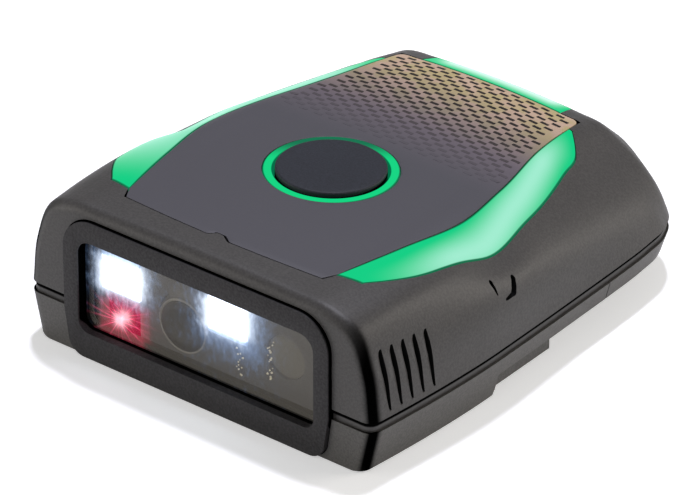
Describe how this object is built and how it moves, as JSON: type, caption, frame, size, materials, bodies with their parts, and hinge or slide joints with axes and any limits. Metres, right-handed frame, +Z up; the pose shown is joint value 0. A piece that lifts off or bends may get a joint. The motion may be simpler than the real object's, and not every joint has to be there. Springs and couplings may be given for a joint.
{
  "type": "wearable barcode scanner",
  "caption": "Hand-worn barcode scanner: moulded wedge body, framed scan window with lamps and camera, round trigger button in a light ring, light guides, cradle rail below.",
  "frame": {"origin": "middle of the length and width, on the plane that the scanner stands on", "axes": "+Z up through the trigger button, -Y out of the scan window, +X to the right when looking at the window"},
  "size_m": [0.05, 0.0586, 0.019],
  "materials": {
    "shell": "fine moulded texture",
    "seal": "matte",
    "bezel": "coarse moulded texture",
    "window": "polished",
    "panel": "satin, printed at the rear",
    "light_guide": "frosted, lit from below",
    "button": "fine moulded texture",
    "steel": "plain",
    "brass": "plain",
    "board": "solder mask",
    "black_plastic": "matte",
    "lamp_white": "clear moulded",
    "lamp_red": "clear moulded",
    "lens_glass": "coated",
    "optic": "polished",
    "flex": "satin film",
    "ceramic": "ceramic",
    "cell": "foil",
    "foam": "closed cell foam"
  },
  "bodies": {
    "scanner": {"top_housing": "shell", "bottom_housing": "shell", "rear_cover": "shell", "parting_seal": "seal", "cradle_rail": "black_plastic", "front_bezel": "bezel", "scan_window": "window", "window_gasket": "seal", "top_panel": "panel", "light_guide_left": "light_guide", "light_guide_right": "light_guide", "light_guide_rear": "light_guide", "button_light_ring": "light_guide", "trigger_switch": "steel", "engine_chassis": "black_plastic", "illumination_board": "board", "illumination_leds": "lamp_white", "illumination_lenses": "lamp_white", "aimer_led": "lamp_red", "aimer_lens": "lamp_red", "camera_barrel": "black_plastic", "camera_lens": "lens_glass", "image_sensor_board": "board", "range_optic": "optic", "engine_flex": "flex", "main_board": "board", "shield_can": "steel", "processor": "black_plastic", "antenna": "ceramic", "board_connector": "ceramic", "status_leds": "lamp_white", "buzzer": "black_plastic", "vibration_motor": "steel", "battery_cell": "cell", "cell_foam": "foam", "charge_contacts": "brass", "rail_screws": "steel", "housing_screws": "steel", "screw_inserts": "brass", "board_screws": "steel"},
    "button": {"trigger_button": "button"}
  },
  "joints": [
    {"name": "trigger_press", "type": "slide", "parent": "scanner", "child": "button", "axis": [0, -0.0349, -0.9994], "range_m": [0, 0.0005], "stiffness_N_per_m": 1600, "springref_m": -0.0002}
  ]
}
